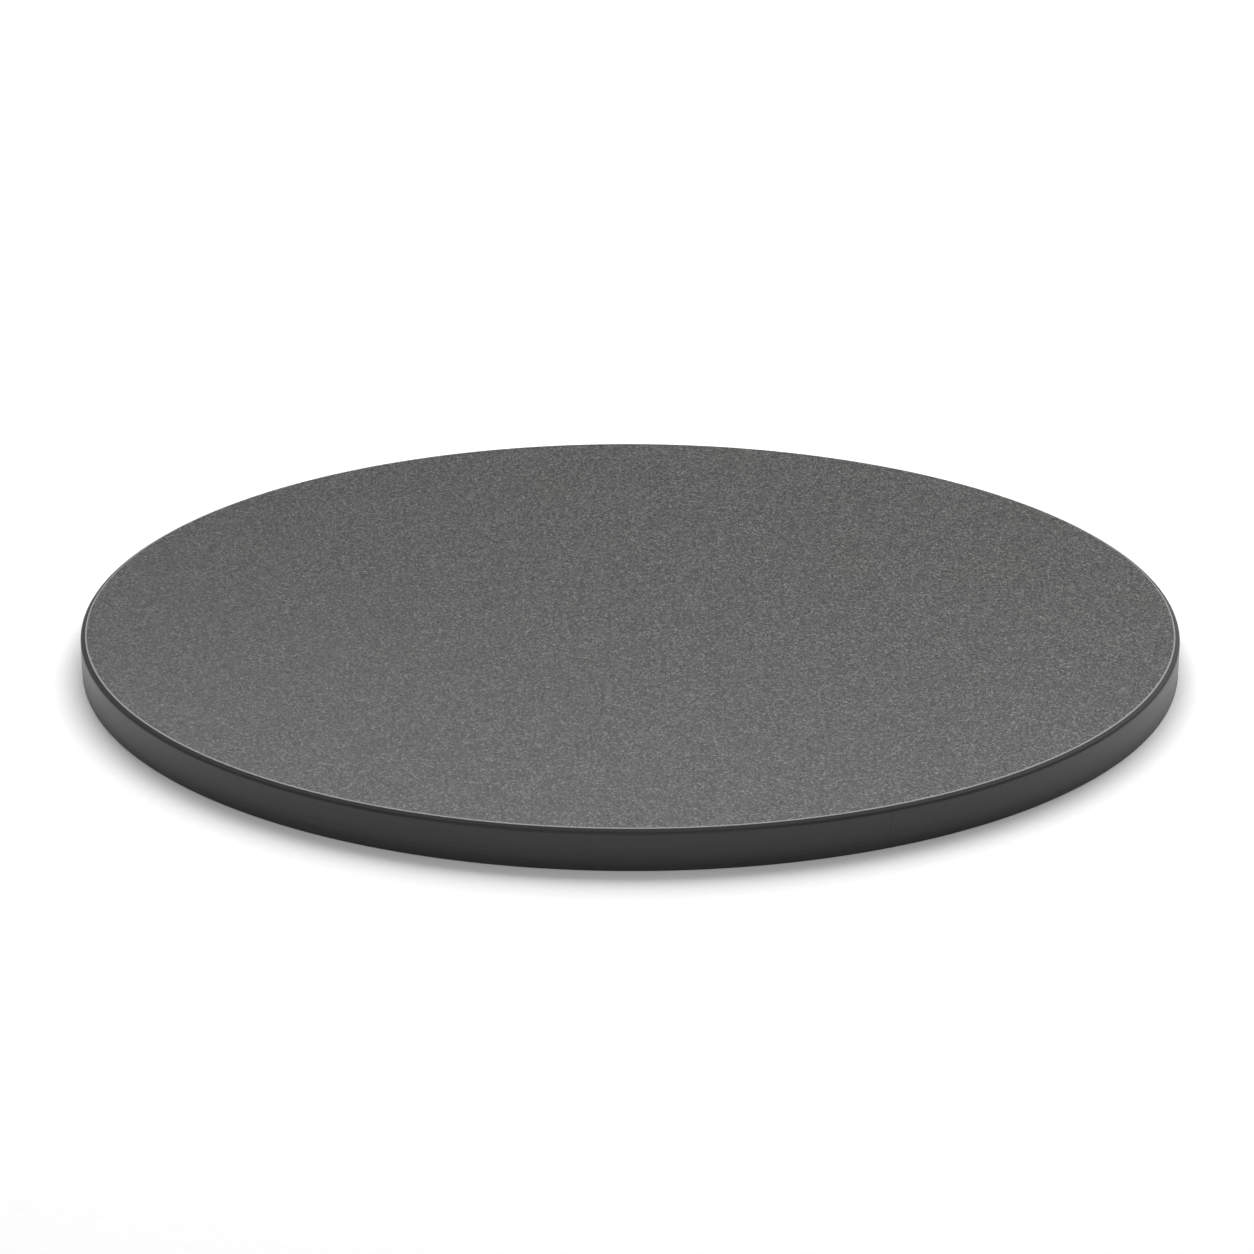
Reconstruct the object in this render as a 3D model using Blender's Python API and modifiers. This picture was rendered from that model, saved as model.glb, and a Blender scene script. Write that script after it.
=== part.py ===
"""Round laminated table top with a plastic edge band, as a Blender model.

The frame is in metres with +Z up.  The origin is the centre of the underside,
so the top lies on z = 0, and -Y is its front.

From the top down the board is a decor laminate, a chipboard core and a backing
laminate, glued face to face.  One strip of edge band is wrapped round their
common rim, flush with both faces, and its two ends meet in a butt seam.  Four
threaded inserts are screwed into blind holes drilled in the underside, where
the bolts of a table base go in.

Run it with: blender --background --python part.py
"""

import math

import bmesh
import bpy

# ---- driving dimensions, metres and radians ---------------------------------

TOP_DIAMETER = 0.800
TOP_THICKNESS = 0.028
LAMINATE_THICKNESS = 0.0008
GLUE_GAP = 0.0003            # every glued joint, faces and rim

BAND_THICKNESS = 0.003
BAND_ARRIS = 0.0022          # radius cut on the band's two outer edges
LAMINATE_ARRIS = 0.0004      # bevel filed on the decor laminate's rim
SEAM_GAP = 0.0003            # between the band's two ends
SEAM_ANGLE = math.radians(-65.5)

BOLT_BORE = 0.0068           # core diameter of the M8 thread
INSERT_DIAMETER = 0.016
INSERT_LENGTH = 0.018
INSERT_RECESS = 0.0005       # the insert's mouth sits this far above the underside
INSERT_CHAMFER = 0.0006
INSERT_SPACING = 0.260       # side of the square that the four inserts stand on
INSERT_FIT = 0.0003          # radial clearance of an insert in its drilled hole
DRIVE_WIDTH = 0.0082         # hexagon across flats, for an 8 mm key
DRIVE_DEPTH = 0.005
TIP_ROOM = 0.002             # depth drilled beyond the insert for the bolt's tip

RIM_STEPS = 180              # facets round the board
INSERT_STEPS = 32            # facets round an insert and its hole
ARRIS_STEPS = 4              # facets across the band's rounded edges
CUT_PAST = 0.001             # how far a cutter runs past the face it opens

# ---- sizes worked out from them ---------------------------------------------

TOP_RADIUS = TOP_DIAMETER / 2
BAND_INNER_RADIUS = TOP_RADIUS - BAND_THICKNESS
BOARD_RADIUS = BAND_INNER_RADIUS - GLUE_GAP
CORE_BOTTOM = LAMINATE_THICKNESS + GLUE_GAP
CORE_TOP = TOP_THICKNESS - LAMINATE_THICKNESS - GLUE_GAP
INSERT_RADIUS = INSERT_DIAMETER / 2
HOLE_RADIUS = INSERT_RADIUS + INSERT_FIT
HOLE_TOP = INSERT_RECESS + INSERT_LENGTH + TIP_ROOM


# ---- scene and helpers -------------------------------------------------------

def clear_scene():
    """Remove every object, so that the model starts from nothing."""
    for obj in list(bpy.data.objects):
        bpy.data.objects.remove(obj, do_unlink=True)


def new_collection(name):
    """A collection linked to the scene."""
    collection = bpy.data.collections.new(name)
    bpy.context.scene.collection.children.link(collection)
    return collection


def linear(channel):
    """One sRGB channel, 0 to 1, as a linear value."""
    if channel <= 0.04045:
        return channel / 12.92
    return ((channel + 0.055) / 1.055) ** 2.4


def make_material(name, hex_colour, roughness, metallic=0.0):
    """A Principled BSDF material from an sRGB hex colour."""
    material = bpy.data.materials.new(name)
    material.use_nodes = True
    channels = [int(hex_colour[i:i + 2], 16) / 255 for i in (0, 2, 4)]
    colour = [linear(channel) for channel in channels] + [1.0]
    shader = material.node_tree.nodes["Principled BSDF"]
    shader.inputs["Base Color"].default_value = colour
    shader.inputs["Roughness"].default_value = roughness
    shader.inputs["Metallic"].default_value = metallic
    material.diffuse_color = colour
    return material


def turned(name, profile, steps, closed, collection):
    """Turn a profile of (radius, height) points once round Z.

    The points run down the outer side.  An open profile starts and ends on the
    axis and makes a solid; a closed one makes a ring or a tube.
    """
    mesh = bpy.data.meshes.new(name)
    points = [(radius, 0.0, height) for radius, height in profile]
    edges = [(i, i + 1) for i in range(len(points) - 1)]
    if closed:
        edges.append((len(points) - 1, 0))
    mesh.from_pydata(points, edges, [])
    obj = bpy.data.objects.new(name, mesh)
    collection.objects.link(obj)
    screw = obj.modifiers.new("turn", "SCREW")
    screw.axis = "Z"
    screw.angle = math.tau
    screw.steps = steps
    screw.render_steps = steps
    screw.use_merge_vertices = True
    screw.merge_threshold = 0.00001
    return obj


def prism_cutter(name, sides, radius, bottom, top, collection):
    """An upright prism or cylinder that is only used to cut."""
    mesh = bpy.data.meshes.new(name)
    shape = bmesh.new()
    bmesh.ops.create_cone(
        shape, cap_ends=True, segments=sides,
        radius1=radius, radius2=radius, depth=top - bottom,
    )
    bmesh.ops.translate(shape, verts=shape.verts, vec=(0.0, 0.0, (top + bottom) / 2))
    shape.to_mesh(mesh)
    shape.free()
    return cutter_object(name, mesh, collection)


def cutter_object(name, mesh, collection):
    """An object that is hidden from renders and drawn as wire."""
    obj = bpy.data.objects.new(name, mesh)
    collection.objects.link(obj)
    obj.hide_render = True
    obj.display_type = "WIRE"
    return obj


def cut(obj, cutter):
    """Take the cutter's shape out of the object."""
    modifier = obj.modifiers.new("cut_" + cutter.name, "BOOLEAN")
    modifier.operation = "DIFFERENCE"
    modifier.solver = "EXACT"
    modifier.object = cutter


def finish(obj, material):
    """Apply the modifiers, give the material and shade the round faces smooth."""
    graph = bpy.context.evaluated_depsgraph_get()
    mesh = bpy.data.meshes.new_from_object(obj.evaluated_get(graph))
    mesh.name = obj.name
    obj.modifiers.clear()
    obj.data = mesh
    mesh.materials.clear()
    mesh.materials.append(material)
    mesh.shade_smooth()
    mesh.set_sharp_from_angle(angle=math.radians(20))


# ---- cutters -----------------------------------------------------------------

def insert_places():
    """The centres of the four inserts, anticlockwise from the rear right."""
    half = INSERT_SPACING / 2
    return [(half, half), (-half, half), (-half, -half), (half, -half)]


def make_hole_cutters(collection):
    """One cylinder for each blind hole drilled up from the underside."""
    cutters = []
    for number, (x, y) in enumerate(insert_places(), start=1):
        cutter = prism_cutter(
            f"hole_cutter_{number}", INSERT_STEPS, HOLE_RADIUS, -CUT_PAST, HOLE_TOP, collection
        )
        cutter.location = (x, y, 0.0)
        cutters.append(cutter)
    return cutters


def make_seam_cutter(collection):
    """A thin upright slab across the band, where its two ends meet."""
    mesh = bpy.data.meshes.new("seam_cutter")
    shape = bmesh.new()
    bmesh.ops.create_cube(shape, size=1.0)
    length = BAND_THICKNESS + 2 * CUT_PAST
    height = TOP_THICKNESS + 2 * CUT_PAST
    bmesh.ops.scale(shape, verts=shape.verts, vec=(length, SEAM_GAP, height))
    middle = TOP_RADIUS - BAND_THICKNESS / 2
    bmesh.ops.translate(shape, verts=shape.verts, vec=(middle, 0.0, TOP_THICKNESS / 2))
    shape.to_mesh(mesh)
    shape.free()
    cutter = cutter_object("seam_cutter", mesh, collection)
    cutter.rotation_euler = (0.0, 0.0, SEAM_ANGLE)
    return cutter


# ---- the pieces --------------------------------------------------------------

def make_top_laminate(collection):
    """The decor sheet, with a fine bevel round its upper rim."""
    bottom = TOP_THICKNESS - LAMINATE_THICKNESS
    profile = [
        (0.0, TOP_THICKNESS),
        (BOARD_RADIUS - LAMINATE_ARRIS, TOP_THICKNESS),
        (BOARD_RADIUS, TOP_THICKNESS - LAMINATE_ARRIS),
        (BOARD_RADIUS, bottom),
        (0.0, bottom),
    ]
    return turned("top_laminate", profile, RIM_STEPS, False, collection)


def make_core_board(hole_cutters, collection):
    """The chipboard disc, with four blind holes in its underside."""
    profile = [
        (0.0, CORE_TOP),
        (BOARD_RADIUS, CORE_TOP),
        (BOARD_RADIUS, CORE_BOTTOM),
        (0.0, CORE_BOTTOM),
    ]
    board = turned("core_board", profile, RIM_STEPS, False, collection)
    for cutter in hole_cutters:
        cut(board, cutter)
    return board


def make_backing_laminate(hole_cutters, collection):
    """The plain sheet under the core, drilled through with it."""
    profile = [
        (0.0, LAMINATE_THICKNESS),
        (BOARD_RADIUS, LAMINATE_THICKNESS),
        (BOARD_RADIUS, 0.0),
        (0.0, 0.0),
    ]
    sheet = turned("backing_laminate", profile, RIM_STEPS, False, collection)
    for cutter in hole_cutters:
        cut(sheet, cutter)
    return sheet


def arris_points(centre_radius, centre_height, start_angle):
    """A quarter circle of the band's rounded edge, turning clockwise."""
    points = []
    for step in range(ARRIS_STEPS + 1):
        angle = start_angle - (math.pi / 2) * step / ARRIS_STEPS
        radius = centre_radius + BAND_ARRIS * math.cos(angle)
        height = centre_height + BAND_ARRIS * math.sin(angle)
        points.append((radius, height))
    return points


def make_edge_band(seam_cutter, collection):
    """The strip round the rim, from face to face, open at its seam."""
    arris_centre = TOP_RADIUS - BAND_ARRIS
    profile = [(BAND_INNER_RADIUS, TOP_THICKNESS)]
    profile += arris_points(arris_centre, TOP_THICKNESS - BAND_ARRIS, math.pi / 2)
    profile += arris_points(arris_centre, BAND_ARRIS, 0.0)
    profile.append((BAND_INNER_RADIUS, 0.0))
    band = turned("edge_band", profile, RIM_STEPS, True, collection)
    cut(band, seam_cutter)
    return band


def make_first_insert(cutters, collection):
    """A threaded sleeve: a bored cylinder with a hexagon drive in its mouth."""
    top = INSERT_RECESS + INSERT_LENGTH
    bore = BOLT_BORE / 2
    profile = [
        (bore, top),
        (INSERT_RADIUS - INSERT_CHAMFER, top),
        (INSERT_RADIUS, top - INSERT_CHAMFER),
        (INSERT_RADIUS, INSERT_RECESS + INSERT_CHAMFER),
        (INSERT_RADIUS - INSERT_CHAMFER, INSERT_RECESS),
        (bore, INSERT_RECESS),
    ]
    insert = turned("threaded_insert_1", profile, INSERT_STEPS, True, collection)
    drive_bottom = INSERT_RECESS - CUT_PAST
    drive_top = INSERT_RECESS + DRIVE_DEPTH
    corner = DRIVE_WIDTH / math.sqrt(3)
    drive = prism_cutter("drive_cutter", 6, corner, drive_bottom, drive_top, cutters)
    cut(insert, drive)
    return insert


def place_inserts(first, collection):
    """Copies of the first insert share its mesh; each stands in its own hole."""
    for number, (x, y) in enumerate(insert_places(), start=1):
        insert = first
        if number > 1:
            insert = bpy.data.objects.new(f"threaded_insert_{number}", first.data)
            collection.objects.link(insert)
        insert.location = (x, y, 0.0)


def main():
    clear_scene()
    parts = new_collection("table_top")
    cutters = new_collection("cutters")
    hole_cutters = make_hole_cutters(cutters)
    seam_cutter = make_seam_cutter(cutters)

    finish(make_top_laminate(parts), make_material("stone_decor_laminate", "6E6C6C", 0.55))
    finish(make_core_board(hole_cutters, parts), make_material("chipboard", "B79C74", 0.90))
    finish(make_backing_laminate(hole_cutters, parts), make_material("backing_laminate", "3A3836", 0.50))
    finish(make_edge_band(seam_cutter, parts), make_material("abs_edge_band", "454444", 0.45))
    insert = make_first_insert(cutters, parts)
    finish(insert, make_material("zinc_plated_steel", "B9BCC0", 0.35, metallic=1.0))
    place_inserts(insert, parts)


main()
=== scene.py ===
# %% [markdown]
# # A round laminated table top
#
# The real object is a board: a thin decor laminate, a chipboard core and a plain
# backing laminate, glued face to face, with a plastic strip wrapped round the rim.
# Its solid model is loaded first, as a fixed frame.  Everything below takes its
# place and size from that frame, so nothing has to be fitted by eye.

# %% Load the frame
import math

import bpy
import numpy as np
from mathutils import Euler, Matrix, Vector


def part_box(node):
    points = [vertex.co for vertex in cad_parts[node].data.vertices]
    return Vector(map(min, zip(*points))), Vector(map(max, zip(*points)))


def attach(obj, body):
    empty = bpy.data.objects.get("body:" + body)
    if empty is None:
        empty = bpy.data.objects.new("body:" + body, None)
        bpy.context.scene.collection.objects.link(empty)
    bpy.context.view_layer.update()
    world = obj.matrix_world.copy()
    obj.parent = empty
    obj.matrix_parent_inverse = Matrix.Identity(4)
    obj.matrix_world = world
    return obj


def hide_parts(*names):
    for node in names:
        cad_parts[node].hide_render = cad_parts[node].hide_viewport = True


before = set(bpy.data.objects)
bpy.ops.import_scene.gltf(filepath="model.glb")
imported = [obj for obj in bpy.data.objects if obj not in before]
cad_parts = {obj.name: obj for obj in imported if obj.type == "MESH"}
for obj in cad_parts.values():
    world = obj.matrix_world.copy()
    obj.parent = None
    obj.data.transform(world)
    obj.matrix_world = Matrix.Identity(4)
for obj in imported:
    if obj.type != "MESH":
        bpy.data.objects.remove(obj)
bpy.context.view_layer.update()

print("frame nodes:", ", ".join(sorted(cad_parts)))

# %% [markdown]
# ## Sizes
#
# The frame gives the outer radius and the height of every piece.  The few sizes
# that are finer than the frame, such as how far an edge is rounded, are named
# here in millimetres, which is how a joiner would write them.

# %% Sizes in metres
MM = 0.001


def piece_sizes(node):
    """Outer radius, bottom and top of a round node of the frame."""
    low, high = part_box(node)
    return (high.x - low.x) / 2, low.z, high.z


TOP_RADIUS, FLOOR_HEIGHT, FACE_HEIGHT = piece_sizes("edge_band")
SHEET_RADIUS, SHEET_BOTTOM, SHEET_TOP = piece_sizes("top_laminate")
BAND_THICKNESS = 3.0 * MM
BAND_ARRIS = 2.6 * MM
BAND_SLOPE = 32.0                      # degrees the scraped top of the strip falls outwards
BAND_LOWER_ARRIS = 0.6 * MM
BEVEL_WIDTH = 1.2 * MM
BEVEL_DROP = 0.2 * MM
SHADE_RING = 0.4 * MM                  # narrow last ring, so that smooth shading stays off the face
print(f"table top: {2 * TOP_RADIUS:.3f} m across, {FACE_HEIGHT - FLOOR_HEIGHT:.4f} m thick")

# %% [markdown]
# ## Surfaces from numbers
#
# A modelled surface is easiest to control as a grid of points: rows one way,
# columns the other, with every point worked out by a formula.  One helper lists
# the quads between neighbouring points, and can join the last row or column back
# to the first.  Another makes the mesh and lets the enclosed volume decide which
# way the faces point: if the sum of the little pyramids from the origin is
# negative, the mesh is inside out and every face is turned round.
#
# The other helpers read a mesh's corners and positions back as arrays, write a
# UV map, and give the points of an arc.

# %% Grid helpers


def grid_quads(rows, columns, wrap_rows, wrap_columns):
    """Corner numbers of the quads of a grid: each point, the next in its row, and the two beyond."""
    row = np.arange(rows if wrap_rows else rows - 1)[:, None]
    column = np.arange(columns if wrap_columns else columns - 1)[None, :]
    next_row = (row + 1) % rows
    next_column = (column + 1) % columns
    corners = (
        row * columns + column,
        row * columns + next_column,
        next_row * columns + next_column,
        next_row * columns + column,
    )
    return np.stack(np.broadcast_arrays(*corners), axis=-1).reshape(-1, 4)


def signed_volume(points, faces):
    """Sum over each face's fan of triangles of the pyramid it makes with the origin."""
    total = 0.0
    for size in {len(face) for face in faces}:
        same = np.array([face for face in faces if len(face) == size])
        first = points[same[:, 0]]
        for k in range(1, size - 1):
            second, third = points[same[:, k]], points[same[:, k + 1]]
            total += np.einsum("ij,ij->i", first, np.cross(second, third)).sum() / 6
    return total


def closed_mesh(name, points, faces):
    """A closed mesh with its faces pointing outwards, whichever way they were listed."""
    if signed_volume(points, faces) < 0:
        faces = [face[::-1] for face in faces]
    mesh = bpy.data.meshes.new(name)
    mesh.from_pydata(points.tolist(), [], faces)
    mesh.validate()
    mesh.shade_smooth()
    mesh.set_sharp_from_angle(angle=math.radians(35))
    obj = bpy.data.objects.new(name, mesh)
    bpy.context.scene.collection.objects.link(obj)
    return obj


def add_uv(obj, name, uv_of_corner):
    """A UV map from one (u, v) pair for each face corner."""
    layer = obj.data.uv_layers.new(name=name)
    layer.data.foreach_set("uv", np.asarray(uv_of_corner, dtype=np.float32).ravel())


def corner_arrays(obj):
    """For each face corner: its vertex number and its face number."""
    mesh = obj.data
    vertex = np.empty(len(mesh.loops), dtype=np.int64)
    mesh.loops.foreach_get("vertex_index", vertex)
    size = np.empty(len(mesh.polygons), dtype=np.int64)
    mesh.polygons.foreach_get("loop_total", size)
    return vertex, np.repeat(np.arange(len(size)), size)


def vertex_positions(obj):
    """All vertex positions as an array."""
    flat = np.empty(len(obj.data.vertices) * 3)
    obj.data.vertices.foreach_get("co", flat)
    return flat.reshape(-1, 3)


def arc(centre, radius, start, stop, steps):
    """Points on part of a circle, as (across, up) pairs, from one angle to the other in degrees."""
    angle = np.radians(np.linspace(start, stop, steps + 1))
    return np.stack([centre[0] + radius * np.cos(angle), centre[1] + radius * np.sin(angle)], axis=1)


# %% [markdown]
# ## The decor sheet
#
# High-pressure laminate is paper soaked in resin and pressed hot: a stiff sheet
# under a millimetre thick.  After gluing, its rim is filed at a slant so that it
# doesn't cut the hand.  That narrow bevel is coloured paler than the face all round:
# partly the filed resin's own tone, partly a painted highlight along the rim.
#
# It is a turned shape: a profile of (radius, height) points, swept round the
# vertical axis.  The two ends of the profile lie on the axis, where a fan of
# triangles closes the sheet.

# %% Turn the decor sheet
SHEET_STEPS = 720
FACE_RINGS = 10


def turned_solid(name, profile, steps):
    """Each profile point, radius r and height z, becomes the circle (r cos a, r sin a, z)."""
    angle = np.linspace(0, 2 * np.pi, steps, endpoint=False)
    rings = profile[1:-1]
    x = rings[:, 0, None] * np.cos(angle)
    y = rings[:, 0, None] * np.sin(angle)
    z = np.broadcast_to(rings[:, 1, None], x.shape)
    points = np.stack([x, y, z], axis=-1).reshape(-1, 3)
    ends = np.array([[0, 0, profile[0, 1]], [0, 0, profile[-1, 1]]])
    top_pole, bottom_pole = len(points), len(points) + 1
    points = np.vstack([points, ends])
    column = np.arange(steps)
    after = (column + 1) % steps
    last = (len(rings) - 1) * steps
    top_fan = np.stack([np.full(steps, top_pole), column, after], axis=1)
    bottom_fan = np.stack([np.full(steps, bottom_pole), last + after, last + column], axis=1)
    quads = grid_quads(len(rings), steps, False, True)
    faces = top_fan.tolist() + quads[:, ::-1].tolist() + bottom_fan.tolist()
    return closed_mesh(name, points, faces)


def sheet_profile():
    """From the middle of the face out to the bevel, down the rim and back under to the middle."""
    face_radius = SHEET_RADIUS - BEVEL_WIDTH
    inner_radius = face_radius - SHADE_RING
    face = [(inner_radius * ring / FACE_RINGS, SHEET_TOP) for ring in range(FACE_RINGS + 1)]
    face.append((face_radius, SHEET_TOP))
    bevel = [(SHEET_RADIUS, SHEET_TOP - BEVEL_DROP)]
    rim = [(SHEET_RADIUS, SHEET_BOTTOM), (0.0, SHEET_BOTTOM)]
    return np.array(face + bevel + rim)


decor_sheet = turned_solid("decor_sheet", sheet_profile(), SHEET_STEPS)
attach(decor_sheet, "root")
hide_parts("top_laminate")
print("decor sheet:", len(decor_sheet.data.polygons), "faces")

# %% [markdown]
# ## The edge strip
#
# The rim is covered by one strip of extruded plastic, 3 mm thick, glued round
# the board and trimmed flush.  A scraper then takes its upper edge down, so the
# top of the strip falls away from the face before it turns into the side.  The
# lower edge is only broken.  The strip's two ends meet in a butt joint, where
# they pull in by a hair.
#
# Its section is a profile carried along a path.  The path is almost a full
# circle: it starts just past the joint and stops just short of it.

# %% Carry the strip's section round the rim
SEAM_ANGLE = math.radians(-65.5)
SEAM_GAP = 0.12 * MM
SEAM_PULL = 0.07 * MM        # how far the ends draw in
SEAM_REACH = 1.6 * MM        # over what length they do
SEAM_FINE = 9.0 * MM         # length at each end with closer rows
BAND_STEPS = 700
SEAM_STEPS = 24              # rows in each fine stretch
SLOPE_STEPS = 9              # facets where the scraped slope turns into the side
LOWER_STEPS = 5


def strip_section():
    """(distance out from the rim, height) pairs round the section; inside the rim they are negative."""
    low, high = FLOOR_HEIGHT, FACE_HEIGHT - BEVEL_DROP
    slope = math.radians(BAND_SLOPE)
    flat_run = BAND_THICKNESS - BAND_ARRIS * (1 - math.sin(slope))
    centre_height = high - flat_run * math.tan(slope) - BAND_ARRIS * math.cos(slope)
    upper = arc((-BAND_ARRIS, centre_height), BAND_ARRIS, 90 - BAND_SLOPE, 0, SLOPE_STEPS)
    lower = arc((-BAND_LOWER_ARRIS, low + BAND_LOWER_ARRIS), BAND_LOWER_ARRIS, 0, -90, LOWER_STEPS)
    side = [(0.0, low + share * (high - low)) for share in (0.75, 0.5, 0.25)]
    inside = [(-BAND_THICKNESS, low), (-BAND_THICKNESS, high)]
    return np.vstack([inside[1:], upper, side, lower, inside[:1]])


def strip_path():
    """Angles along the rim from one end of the strip to the other, closer together at both ends."""
    half_gap = SEAM_GAP / 2 / TOP_RADIUS
    fine = SEAM_FINE / TOP_RADIUS
    start = SEAM_ANGLE + half_gap
    stop = SEAM_ANGLE + 2 * np.pi - half_gap
    first = start + fine * np.linspace(0, 1, SEAM_STEPS, endpoint=False) ** 2
    last = (stop - fine * np.linspace(0, 1, SEAM_STEPS, endpoint=False) ** 2)[::-1]
    middle = np.linspace(start + fine, stop - fine, BAND_STEPS)
    return np.concatenate([first, middle, last])


def edge_strip_mesh(name):
    """Each angle of the path carries the section: its radius is the rim plus the offset, less the pull."""
    angle = strip_path()
    section = strip_section()
    along = np.minimum(angle - angle[0], angle[-1] - angle) * TOP_RADIUS
    pull = SEAM_PULL * np.exp(-along / SEAM_REACH)
    outer = section[:, 0] > -BAND_THICKNESS / 2
    radius = TOP_RADIUS + section[None, :, 0] - pull[:, None] * outer[None, :]
    x = radius * np.cos(angle)[:, None]
    y = radius * np.sin(angle)[:, None]
    z = np.broadcast_to(section[None, :, 1], x.shape)
    points = np.stack([x, y, z], axis=-1).reshape(-1, 3)
    rows, columns = x.shape
    faces = grid_quads(rows, columns, False, True).tolist()
    start_cap = list(reversed(range(columns)))
    end_cap = list(range((rows - 1) * columns, rows * columns))
    return closed_mesh(name, points, faces + [start_cap, end_cap])


edge_strip = edge_strip_mesh("edge_strip")
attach(edge_strip, "root")
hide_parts("edge_band")
print("edge strip:", len(edge_strip.data.polygons), "faces")

# %% [markdown]
# ## The threaded inserts
#
# Chipboard won't hold a bolt, so four steel sleeves are screwed into it from
# below.  Each has a coarse wood thread outside, a machine thread inside and a
# hexagon in its mouth for the key that drives it.
#
# The whole sleeve is one closed grid.  Going along a row follows the sleeve's
# outline: down the outside, across the mouth, up the hexagon and the bore, and
# back over the end.  Going along a column turns round the axis.  A thread is a
# radius that rises and falls with height, and slips by one pitch each turn.

# %% Threads and a hexagon as formulas
BOLT_PITCH = 1.25 * MM       # M8 coarse
BOLT_ROOT = 4.0 * MM         # M8 thread, largest radius of the inner thread
BOLT_CORE = 3.4 * MM
WOOD_PITCH = 3.5 * MM
WOOD_DEPTH = 1.1 * MM
DRIVE_HALF_WIDTH = 4.1 * MM
DRIVE_DEPTH = 5.0 * MM
SLEEVE_CHAMFER = 0.6 * MM
MOUTH_CHAMFER = 0.3 * MM
SLEEVE_COLUMNS = 72
OUTSIDE_ROWS = 64
DRIVE_ROWS = 6
BORE_ROWS = 110


def tooth(phase, flat):
    """0 in the groove and 1 on the crest, with straight flanks and flats of the given share."""
    wave = np.abs(2 * (phase % 1.0) - 1)
    return np.clip((wave - flat) / (1 - 2 * flat), 0, 1)


def hexagon(angle, half_width):
    """Distance from the middle to the side of a hexagon that lies in this direction."""
    from_flat = (angle + np.pi / 6) % (np.pi / 3) - np.pi / 6
    return half_width / np.cos(from_flat)


def fade(position, start, stop, reach):
    """1 between start and stop, easing to 0 over the reach at either end."""
    return np.clip(np.minimum(position - start, stop - position) / reach, 0, 1)


def sleeve_points(outer_radius, bottom, top):
    """Rows of (x, y, z) round the sleeve's axis, outside first, then mouth, hexagon, bore and end."""
    angle = np.linspace(0, 2 * np.pi, SLEEVE_COLUMNS, endpoint=False)[None, :]
    turn = angle / (2 * np.pi)

    height = np.linspace(top - SLEEVE_CHAMFER, bottom + SLEEVE_CHAMFER, OUTSIDE_ROWS)[:, None]
    depth = WOOD_DEPTH * fade(height, bottom + 1 * MM, top, 1 * MM)
    outside = outer_radius - depth * (1 - tooth(height / WOOD_PITCH - turn, 0.12))

    drive_top = bottom + DRIVE_DEPTH
    mouth = hexagon(angle, DRIVE_HALF_WIDTH)
    drive_height = np.linspace(bottom + MOUTH_CHAMFER, drive_top, DRIVE_ROWS)[:, None]

    bore_height = np.linspace(drive_top, top, BORE_ROWS)[:, None]
    cut = (BOLT_ROOT - BOLT_CORE) * fade(bore_height, drive_top, top, 0.6 * MM)
    bore = BOLT_CORE + cut * tooth(bore_height / BOLT_PITCH - turn, 0.1)

    flat = np.ones_like(angle)
    stations = [
        ((outer_radius - SLEEVE_CHAMFER) * flat, top),
        (outside, height),
        ((outer_radius - SLEEVE_CHAMFER) * flat, bottom),
        (mouth + MOUTH_CHAMFER, bottom),
        (np.repeat(mouth, len(drive_height), axis=0), drive_height),
        (bore, bore_height),
    ]
    radius = np.vstack([np.atleast_2d(r) for r, _ in stations])
    z = np.vstack([np.broadcast_to(h, np.atleast_2d(r).shape) for r, h in stations])
    return np.stack([radius * np.cos(angle), radius * np.sin(angle), z], axis=-1)


# %% [markdown]
# ## Four sleeves in their places
#
# The sleeves are alike, so one loop makes them.  Each takes its radius, height
# and place from the frame's own insert.  The place goes into the points and not
# on the object, so that a pattern in the frame's metres stays where it is.

# %% Make the four sleeves
INSERT_NODES = sorted(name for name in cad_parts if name.startswith("threaded_insert"))
sleeves = []
for node_name in INSERT_NODES:
    low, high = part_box(node_name)
    grid = sleeve_points((high.x - low.x) / 2, low.z, high.z)
    rows, columns = grid.shape[:2]
    points = grid.reshape(-1, 3) + np.array([(low.x + high.x) / 2, (low.y + high.y) / 2, 0.0])
    faces = grid_quads(rows, columns, True, True).tolist()
    sleeve = closed_mesh(node_name.replace("threaded_insert", "insert_sleeve"), points, faces)
    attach(sleeve, "root")
    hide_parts(node_name)
    sleeves.append(sleeve)
print("sleeves:", len(sleeves), "of", len(sleeves[0].data.polygons), "faces")

# %% [markdown]
# ## Where a pattern gets its coordinates
#
# Most materials here read Object coordinates, which are metres in the frame, so a
# grain of a given size is one over that size.  The strip is different: its
# streaks run along it, round the rim.  It gets a UV map of its own, with the
# distance along the rim in u and the height in v, both in metres.
#
# A second map, OFBake, only says where each face goes in a baked picture: the
# strip as six rows one above the other, and the sheet's face as one large disc.

# %% UV maps
BAKE_MAP = "OFBake"
STRIP_ROWS = 6
FACE_ON_MAP = 0.47           # radius of the face on the baked square
UNDER_ON_MAP = 0.09          # radius of the sheet's hidden side, in the square's corner


def map_strip(obj):
    """u is the distance from the joint and v the height; OFBake cuts the strip into rows."""
    angle, section = strip_path(), strip_section()
    columns = len(section)
    vertex, face = corner_arrays(obj)
    row, column = vertex // columns, vertex % columns
    along = (angle - angle[0]) * TOP_RADIUS
    add_uv(obj, "along_strip", np.stack([along[row], section[column, 1]], axis=1))

    step = np.linalg.norm(np.roll(section, -1, axis=0) - section, axis=1)
    girth = np.concatenate([[0], np.cumsum(step)])
    closing = np.bincount(face, column == columns - 1) > 0
    around = girth[np.where(closing[face] & (column == 0), columns, column)] / girth[-1]
    share = STRIP_ROWS * along[row] / along[-1]
    baked_row = np.floor(np.bincount(face, share) / np.bincount(face))
    baked_row = np.minimum(baked_row, STRIP_ROWS - 1)[face]
    u = 0.01 + 0.98 * (share - baked_row)
    v = (baked_row + 0.03 + 0.94 * around) / STRIP_ROWS
    add_uv(obj, BAKE_MAP, np.stack([u, v], axis=1))


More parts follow.
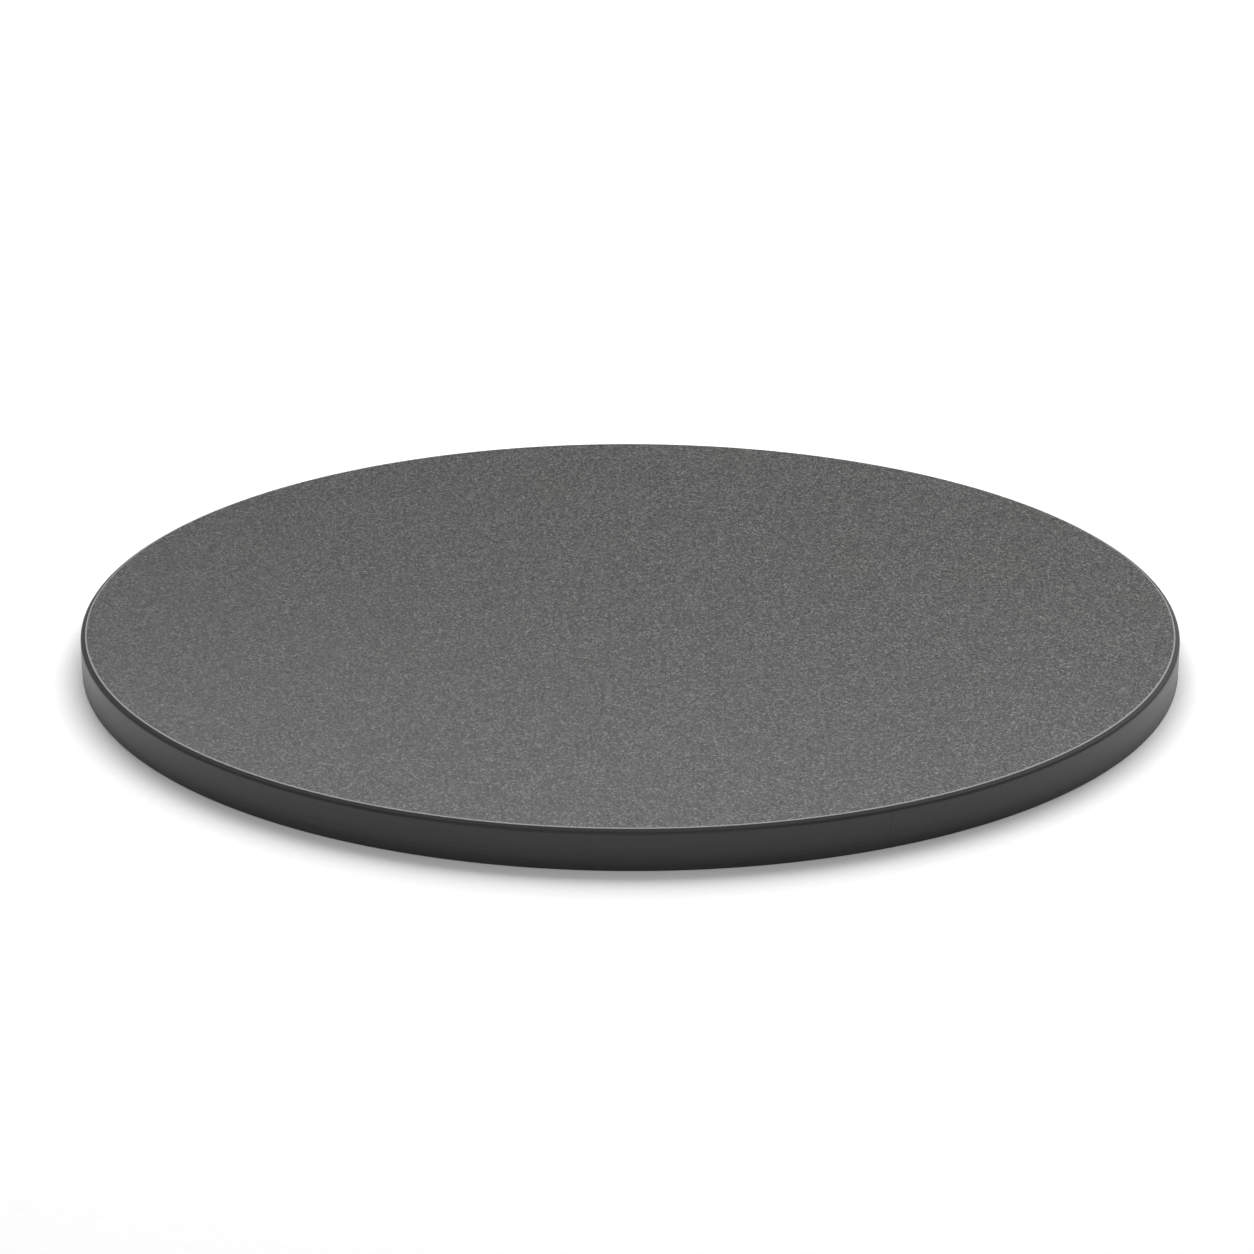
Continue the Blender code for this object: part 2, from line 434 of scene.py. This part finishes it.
def map_sheet(obj):
    """The face, bevel and rim as one disc unrolled flat, and the hidden side small in a corner."""
    vertex, face = corner_arrays(obj)
    position = vertex_positions(obj)[vertex]
    radius = np.hypot(position[:, 0], position[:, 1])
    drop = SHEET_TOP - position[:, 2]
    middle = np.bincount(face, position[:, 2]) / np.bincount(face)
    hidden = (middle < SHEET_BOTTOM + 0.01 * MM)[face]
    direction = position[:, :2] / np.maximum(radius, 1e-9)[:, None]
    unrolled = (radius + 2 * drop) / (SHEET_RADIUS + 2 * (SHEET_TOP - SHEET_BOTTOM))
    on_face = 0.5 + FACE_ON_MAP * unrolled[:, None] * direction
    in_corner = 0.1 + UNDER_ON_MAP * (radius / SHEET_RADIUS)[:, None] * direction
    add_uv(obj, BAKE_MAP, np.where(hidden[:, None], in_corner, on_face))


map_strip(edge_strip)
map_sheet(decor_sheet)
print("UV maps:", ", ".join(layer.name for layer in edge_strip.data.uv_layers))

# %% [markdown]
# ## Colours and nodes
#
# Colours are easiest to choose as sRGB hex values, but light adds up in linear
# values, so one function turns the first into the second.  One more function
# adds a shader node: it takes the node's kind, its settings, and its inputs,
# each of which is either a plain value or another node's output.

# %% Material helpers


def linear(hex_colour):
    """An sRGB hex value such as 6A6A6A as linear red, green, blue and alpha."""
    srgb = np.array([int(hex_colour[i:i + 2], 16) / 255 for i in (0, 2, 4)])
    light = np.where(srgb <= 0.04045, srgb / 12.92, ((srgb + 0.055) / 1.055) ** 2.4)
    return (*light.tolist(), 1.0)


def node(material, kind, settings=None, inputs=None):
    """Add a shader node, set its properties, and set or link each of its named inputs."""
    tree = material.node_tree
    made = tree.nodes.new(kind)
    for name, value in (settings or {}).items():
        setattr(made, name, value)
    for name, value in (inputs or {}).items():
        if isinstance(value, bpy.types.NodeSocket):
            tree.links.new(value, made.inputs[name])
        else:
            made.inputs[name].default_value = value
    return made


def new_material(name, inputs):
    """A material and its Principled shader, with the values that are the same all over it."""
    material = bpy.data.materials.new(name)
    material.use_nodes = True
    shader = material.node_tree.nodes["Principled BSDF"]
    for socket, value in inputs.items():
        shader.inputs[socket].default_value = value
    return material, shader


def link(material, source, target):
    """Join an output to an input."""
    material.node_tree.links.new(source, target)


def grain(material, coordinates, size, detail=0.0, stretch=(1, 1, 1)):
    """Noise whose bumps are about the given size in metres, stretched along an axis if asked."""
    scale = tuple(1 / axis for axis in stretch)
    placed = node(material, "ShaderNodeMapping", {}, {"Vector": coordinates, "Scale": scale})
    return node(
        material, "ShaderNodeTexNoise", {},
        {"Vector": placed.outputs["Vector"], "Scale": 1 / size, "Detail": detail},
    ).outputs["Fac"]


def ramp(material, value, stops):
    """A colour or tone for each (position, linear colour) stop."""
    made = node(material, "ShaderNodeValToRGB", {}, {"Fac": value})
    elements = made.color_ramp.elements
    while len(elements) < len(stops):
        elements.new(0.5)
    for element, (position, colour) in zip(elements, stops):
        element.position = position
        element.color = colour
    return made.outputs["Color"]


def tone(level):
    """A plain grey for a ramp that carries a number."""
    return (level, level, level, 1.0)


def product(material, first, second):
    """Two colours multiplied, channel by channel."""
    return node(
        material, "ShaderNodeMix", {"data_type": "RGBA", "blend_type": "MULTIPLY"},
        {"Factor": 1.0, 6: first, 7: second},
    ).outputs[2]


def bumped(material, height, depth, strength=1.0, below=None):
    """A normal that follows a height pattern of the given depth in metres."""
    inputs = {"Height": height, "Distance": depth, "Strength": strength}
    if below is not None:
        inputs["Normal"] = below
    return node(material, "ShaderNodeBump", {}, inputs).outputs["Normal"]


# %% [markdown]
# ## Decor laminate: high-pressure laminate, printed stone, pressed matt
#
# The face is a printed paper of fine stone grains under a clear melamine skin,
# pressed against a matt plate.  The eye gets three things from it: grains of
# under a millimetre in different greys, soft clouds a few centimetres across
# that are barely warmer or cooler, and a dull sheen from the plate's texture.
# The greys also darken towards the left side of the sheet: this is painted shade,
# standing in for the weaker reflection on the left half of the face.
#
# Seen from a low angle a reflection drowns a pattern.  So the sheen is kept weak,
# with one value on the shader's own socket, and the greys of the grains lie far
# apart: that way the pattern shows from every side.

# %% The laminate's face and its filed bevel
GRAIN_SIZE = 0.95 * MM       # drawn a little coarser than print, so that it still shows
FLAKE_SIZE = 1.6 * MM
CLOUD_SIZE = 60 * MM
PLATE_TEXTURE = 0.7 * MM
FILE_SCRATCH = 0.8 * MM


def stone_laminate():
    """Per-grain greys from random cells, on soft clouds, under a matt pressed skin."""
    material, shader = new_material("hpl_stone_decor_matt", {"IOR": 1.5, "Specular IOR Level": 0.07})
    place = node(material, "ShaderNodeTexCoord").outputs["Object"]

    cells = node(
        material, "ShaderNodeTexVoronoi", {"feature": "F1"},
        {"Vector": place, "Scale": 1 / GRAIN_SIZE},
    )
    split = node(material, "ShaderNodeSeparateColor", {}, {"Color": cells.outputs["Color"]})
    grains = ramp(material, split.outputs["Red"], [
        (0.0, linear("191818")), (0.25, linear("2C2B2B")), (0.75, linear("4A4948")), (1.0, linear("7C7A79")),
    ])
    flakes = node(
        material, "ShaderNodeTexVoronoi", {"feature": "F1"},
        {"Vector": place, "Scale": 1 / FLAKE_SIZE},
    )
    flake_split = node(material, "ShaderNodeSeparateColor", {}, {"Color": flakes.outputs["Color"]})
    flake_tone = ramp(material, flake_split.outputs["Green"], [(0.0, tone(0.80)), (1.0, tone(1.20))])
    grey = product(material, grains, flake_tone)
    clouds = grain(material, place, CLOUD_SIZE, 2.0)
    hue = ramp(material, clouds, [
        (0.30, (0.985, 1.012, 0.985, 1.0)), (0.5, tone(1.0)), (0.70, (1.015, 0.990, 1.020, 1.0)),
    ])
    grey = product(material, grey, hue)
    # painted shade: the base colour darkens towards the left side of the face
    across = node(material, "ShaderNodeSeparateXYZ", {}, {"Vector": place}).outputs["X"]
    share = node(
        material, "ShaderNodeMapRange", {},
        {"Value": across, "From Min": -SHEET_RADIUS, "From Max": SHEET_RADIUS},
    )
    painted_left_shade = ramp(material, share.outputs["Result"], [(0.0, tone(0.79)), (0.5, tone(0.96)), (1.0, tone(1.03))])
    link(material, product(material, grey, painted_left_shade), shader.inputs["Base Color"])

    rough = ramp(material, split.outputs["Green"], [(0.0, tone(0.24)), (1.0, tone(0.34))])
    link(material, rough, shader.inputs["Roughness"])
    plate = grain(material, place, PLATE_TEXTURE, 1.0)
    link(material, bumped(material, plate, 0.03 * MM, 0.5), shader.inputs["Normal"])
    return material


def filed_bevel_painted_highlight():
    """Resin scraped pale by the file and made paler still as a painted highlight, with fine scratches along
    the rim.
    """
    material, shader = new_material("hpl_filed_edge_painted_highlight", {"IOR": 1.5, "Roughness": 0.5})
    place = node(material, "ShaderNodeTexCoord").outputs["Object"]
    scratches = grain(material, place, FILE_SCRATCH, 3.0)
    # the pale tone is partly the filed resin's own colour and partly a painted highlight along the rim
    colour = ramp(material, scratches, [(0.3, linear("605E5D")), (0.7, linear("757371"))])
    link(material, colour, shader.inputs["Base Color"])
    link(material, bumped(material, scratches, 0.02 * MM, 0.4), shader.inputs["Normal"])
    return material


def face_centres(obj):
    """Middle of every face, as an array."""
    flat = np.empty(len(obj.data.polygons) * 3)
    obj.data.polygons.foreach_get("center", flat)
    return flat.reshape(-1, 3)


decor_sheet.data.materials.append(stone_laminate())
decor_sheet.data.materials.append(filed_bevel_painted_highlight())
centres = face_centres(decor_sheet)
below_face = centres[:, 2] < SHEET_TOP - BEVEL_DROP / 4
above_rim = centres[:, 2] > SHEET_BOTTOM + (SHEET_TOP - SHEET_BOTTOM) * 3 / 8
# the bevel faces get the filed edge colour, which carries a painted highlight
bevel_with_painted_highlight = below_face & above_rim
decor_sheet.data.polygons.foreach_set("material_index", bevel_with_painted_highlight.astype(np.int32))
print("bevel faces:", int(bevel_with_painted_highlight.sum()))

# %% [markdown]
# ## Edge strip: extruded ABS, planed and scraped
#
# ABS strip leaves its die with faint lines along its length, and the scraper
# adds a few more.  It is satin rather than matt, so near the left and right ends
# of the rim, where the eye only grazes it, it turns pale with reflected light.
# Where the scraper has cut it the skin is gone, so that slope is duller and stays
# a dark ring round the face.  A face belongs to the slope if its normal points up
# far enough.

# %% The strip's plastic
STREAK_LENGTH = 70 * MM
STREAK_WIDTH = 0.9 * MM
SHORT_MARK = 0.8 * MM
STRIP_CLOUD = 25 * MM
SCRAPER_MARK = 0.5 * MM
SCRAPED_SLOPE = 0.5            # faces turned up further than this were cut by the scraper


def abs_strip():
    """Dark grey plastic with lengthwise streaks in tone, gloss and height."""
    material, shader = new_material("abs_extruded_satin", {"IOR": 1.52})
    rim = node(material, "ShaderNodeUVMap", {"uv_map": "along_strip"}).outputs["UV"]
    streaks = grain(material, rim, STREAK_WIDTH, 2.0, (STREAK_LENGTH / STREAK_WIDTH, 1, 1))
    short = grain(material, rim, SHORT_MARK, 1.0, (5, 1, 1))
    clouds = grain(material, rim, STRIP_CLOUD, 2.0, (3, 1, 1))
    colour = ramp(material, streaks, [(0.25, linear("1A1919")), (0.75, linear("2E2D2D"))])
    fine = ramp(material, short, [(0.25, tone(0.86)), (0.75, tone(1.14))])
    cloud = ramp(material, clouds, [(0.3, (0.97, 0.98, 0.98, 1.0)), (0.7, (1.03, 1.02, 1.02, 1.0))])
    colour = product(material, colour, fine)
    link(material, product(material, colour, cloud), shader.inputs["Base Color"])
    rough = ramp(material, streaks, [(0.3, tone(0.36)), (0.7, tone(0.46))])
    link(material, rough, shader.inputs["Roughness"])
    ribs = bumped(material, streaks, 0.012 * MM, 0.6)
    link(material, bumped(material, short, 0.01 * MM, 0.5, ribs), shader.inputs["Normal"])
    return material


def scraped_plastic():
    """The same plastic where the scraper has cut it: duller, with short marks along the rim."""
    dull = {"IOR": 1.52, "Specular IOR Level": 0.3, "Roughness": 0.55}
    material, shader = new_material("abs_scraped_dull", dull)
    rim = node(material, "ShaderNodeUVMap", {"uv_map": "along_strip"}).outputs["UV"]
    marks = grain(material, rim, SCRAPER_MARK, 2.0, (8, 1, 1))
    colour = ramp(material, marks, [(0.25, linear("232222")), (0.75, linear("302F2F"))])
    link(material, colour, shader.inputs["Base Color"])
    link(material, bumped(material, marks, 0.01 * MM, 0.5), shader.inputs["Normal"])
    return material


edge_strip.data.materials.append(abs_strip())
edge_strip.data.materials.append(scraped_plastic())
facing = np.empty(len(edge_strip.data.polygons) * 3)
edge_strip.data.polygons.foreach_get("normal", facing)
scraped = facing.reshape(-1, 3)[:, 2] > SCRAPED_SLOPE
edge_strip.data.polygons.foreach_set("material_index", scraped.astype(np.int32))
print("scraped faces:", int(scraped.sum()))

# %% [markdown]
# ## Backing laminate: the same pressed sheet without a print
#
# A board that is laminated on one side only bows as the weather changes, so its
# underside gets a plain dark sheet.  Nobody looks at it: it is a little fibrous
# and unevenly rubbed, in tone as well as in gloss.

# %% Backing laminate
PAPER_FIBRE = 1.2 * MM
RUBBED_PATCH = 90 * MM


def backing_laminate():
    """Unprinted dark sheet with a faint press texture and a few rubbed patches."""
    material, shader = new_material("hpl_backing_plain", {"IOR": 1.5})
    place = node(material, "ShaderNodeTexCoord").outputs["Object"]
    fibres = grain(material, place, PAPER_FIBRE, 3.0)
    patches = grain(material, place, RUBBED_PATCH, 3.0)
    paper = ramp(material, fibres, [(0.3, linear("343231")), (0.7, linear("403E3C"))])
    worn = ramp(material, patches, [(0.4, tone(0.94)), (0.65, tone(1.08))])
    link(material, product(material, paper, worn), shader.inputs["Base Color"])
    rough = ramp(material, patches, [(0.35, tone(0.55)), (0.65, tone(0.44))])
    link(material, rough, shader.inputs["Roughness"])
    link(material, bumped(material, fibres, 0.03 * MM, 0.4), shader.inputs["Normal"])
    return material


# %% [markdown]
# ## Chipboard: wood chips pressed with resin, then sawn
#
# The chips lie in all directions, mostly flat, so a cut shows pale slivers among
# darker ones, with small pores between.  Random cells, pressed flat and bent a
# little by noise, give slivers of that kind, and each takes its own wood tone.

# %% Chipboard
CHIP_SIZE = 1.6 * MM
CHIP_WARP = 4 * MM
CHIP_BEND = 2 * MM


def chipboard():
    """Flat slivers as stretched random cells, in several wood tones, with open pores."""
    material, shader = new_material("chipboard_cut", {"IOR": 1.45, "Roughness": 0.85})
    place = node(material, "ShaderNodeTexCoord").outputs["Object"]
    placed = node(material, "ShaderNodeMapping", {}, {"Vector": place, "Scale": (0.35, 0.6, 1.6)})
    warp = grain(material, place, CHIP_WARP, 2.0)
    bent = node(
        material, "ShaderNodeVectorMath", {"operation": "MULTIPLY_ADD"},
        {0: warp, 1: (CHIP_BEND, CHIP_BEND, CHIP_BEND), 2: placed.outputs["Vector"]},
    )
    chips = node(
        material, "ShaderNodeTexVoronoi", {"feature": "F1"},
        {"Vector": bent.outputs["Vector"], "Scale": 1 / CHIP_SIZE},
    )
    split = node(material, "ShaderNodeSeparateColor", {}, {"Color": chips.outputs["Color"]})
    wood = ramp(material, split.outputs["Blue"], [
        (0.0, linear("8A6A42")), (0.35, linear("A98859")), (0.7, linear("C4A678")), (1.0, linear("D9C199")),
    ])
    link(material, wood, shader.inputs["Base Color"])
    link(material, bumped(material, chips.outputs["Distance"], 0.2 * MM, 0.5), shader.inputs["Normal"])
    return material


# %% [markdown]
# ## Zinc-plated steel: turned, then plated blue-white
#
# The sleeves are turned on a lathe and get a thin coat of zinc.  The eye gets a
# cool metal grey, a fine crystal mottle in tone and gloss, and the lathe's marks
# as tiny ridges.  A metal needs no more than its colour and its roughness.

# %% Zinc-plated steel
ZINC_MOTTLE = 1.5 * MM
LATHE_MARK = 0.25 * MM


def zinc_plated_steel():
    """Bright blue-white plating with a fine crystal mottle and turning marks."""
    material, shader = new_material("steel_zinc_plated", {"Metallic": 1.0})
    place = node(material, "ShaderNodeTexCoord").outputs["Object"]
    mottle = grain(material, place, ZINC_MOTTLE, 3.0)
    marks = grain(material, place, LATHE_MARK, 1.0, (1, 1, 0.3))
    colour = ramp(material, mottle, [(0.3, linear("AEB4BA")), (0.7, linear("C9CBC8"))])
    link(material, colour, shader.inputs["Base Color"])
    rough = ramp(material, mottle, [(0.3, tone(0.24)), (0.7, tone(0.40))])
    link(material, rough, shader.inputs["Roughness"])
    link(material, bumped(material, marks, 0.01 * MM, 0.4), shader.inputs["Normal"])
    return material


# %% [markdown]
# ## Dress the pieces that are seen from below
#
# The backing laminate and the chipboard keep the frame's own solids, because a
# flat sheet with drilled holes needs no finer shape.  They only get a material.

# %% Dress the hidden pieces


def dress(obj, material):
    """Give a whole piece one material."""
    obj.data.materials.clear()
    obj.data.materials.append(material)


dress(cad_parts["backing_laminate"], backing_laminate())
dress(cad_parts["core_board"], chipboard())
steel = zinc_plated_steel()
for sleeve in sleeves:
    dress(sleeve, steel)
print("dressed: backing laminate, core board and", len(sleeves), "sleeves")

# %% [markdown]
# ## Floor
#
# The top lies on a sweep of matt white paper.  One square of 24 m is enough,
# because the camera looks down and never meets its far edge.  The paper keeps a
# faint tooth: a surface that is exactly one value all over looks computed.

# %% Floor


def white_floor():
    """Matt white paper with a barely visible tooth."""
    material, shader = new_material("paper_matt_white", {"Roughness": 0.9, "Specular IOR Level": 0.2})
    place = node(material, "ShaderNodeTexCoord").outputs["Object"]
    tooth_pattern = grain(material, place, PAPER_TOOTH, 2.0)
    colour = ramp(material, tooth_pattern, [(0.3, linear("FAFAFA")), (0.7, linear("FCFCFC"))])
    link(material, colour, shader.inputs["Base Color"])
    return material


FLOOR_HALF = 12.0
PAPER_TOOTH = 6 * MM
floor_mesh = bpy.data.meshes.new("floor")
corner_signs = ((-1, -1), (1, -1), (1, 1), (-1, 1))
floor_corners = [(x * FLOOR_HALF, y * FLOOR_HALF, FLOOR_HEIGHT) for x, y in corner_signs]
floor_mesh.from_pydata(floor_corners, [], [(0, 1, 2, 3)])
floor = bpy.data.objects.new("floor", floor_mesh)
bpy.context.scene.collection.objects.link(floor)
dress(floor, white_floor())

# %% [markdown]
# ## Lights
#
# A low camera sees a satin board almost as a mirror, so what it mirrors matters
# more than what shines on it.  The large box stands above and behind the top:
# its reflection lies on the face and fades towards the front, and the near side
# of the rim is left in its own shade.  Its height also sets the shadow in front,
# since a lower box throws a wider one.  Three small boxes lift the front of the
# face, the rim and the right-hand side a little, and an even white surround
# keeps the board readable from every other side.

# %% Lights


def soft_box(name, place, aim, width, depth, power):
    """A rectangular light at a place, facing the point it aims at."""
    lamp = bpy.data.lights.new(name, "AREA")
    lamp.shape = "RECTANGLE"
    lamp.size = width
    lamp.size_y = depth
    lamp.energy = power
    obj = bpy.data.objects.new(name, lamp)
    obj.location = place
    obj.rotation_euler = (Vector(aim) - Vector(place)).to_track_quat("-Z", "Y").to_euler()
    obj.visible_camera = False
    bpy.context.scene.collection.objects.link(obj)
    return obj


def surround(strength):
    """An even white surround."""
    world = bpy.data.worlds.new("studio")
    world.use_nodes = True
    background = world.node_tree.nodes["Background"]
    background.inputs["Color"].default_value = (1.0, 1.0, 1.0, 1.0)
    background.inputs["Strength"].default_value = strength
    bpy.context.scene.world = world


TABLE = (0.0, 0.0, 0.0)
surround(0.30)
soft_box("back_box", (0.25, 2.12, 2.42), TABLE, 4.0, 2.7, 152.0)
soft_box("top_box", (0.1, 0.9, 2.1), TABLE, 2.8, 1.6, 5.0)
soft_box("front_box", (0.0, -1.8, 1.9), TABLE, 2.4, 1.6, 10.0)
soft_box("low_box", (1.8, 2.4, 1.1), TABLE, 1.2, 1.0, 3.0)
bpy.context.scene.view_settings.view_transform = "Standard"
print("lights:", len(bpy.data.lights))

# %% [markdown]
# ## Camera
#
# The lens is long and stands about six radii away, which keeps the ellipse of
# the rim nearly symmetric from back to front.  All its distances are shares of
# the top's radius, so the picture stays framed when the top is made larger.
# Pan and roll are small corrections, turned in the camera's own axes.

# %% Camera
CAMERA_ELEVATION = math.radians(20.41)
CAMERA_DISTANCE = 6.207 * TOP_RADIUS
CAMERA_BELOW = math.radians(0.333)     # the lens looks this far under the middle of the face
CAMERA_PAN = math.radians(0.0575)
CAMERA_ROLL = math.radians(0.097)
FOCAL_SHARE = 2.6912                   # focal length over sensor width

camera_data = bpy.data.cameras.new("camera")
camera_data.sensor_width = 36.0
camera_data.lens = FOCAL_SHARE * camera_data.sensor_width
camera_data.clip_end = 50.0
camera = bpy.data.objects.new("camera", camera_data)
bpy.context.scene.collection.objects.link(camera)
camera.location = (
    0.0,
    -CAMERA_DISTANCE * math.cos(CAMERA_ELEVATION),
    FACE_HEIGHT + CAMERA_DISTANCE * math.sin(CAMERA_ELEVATION),
)
pitch = Euler((math.pi / 2 - CAMERA_ELEVATION - CAMERA_BELOW, 0.0, CAMERA_PAN)).to_matrix()
camera.rotation_euler = (pitch @ Matrix.Rotation(CAMERA_ROLL, 3, "Z")).to_euler()
bpy.context.scene.camera = camera
print(f"camera: {camera_data.lens:.0f} mm lens, {CAMERA_DISTANCE:.2f} m away")
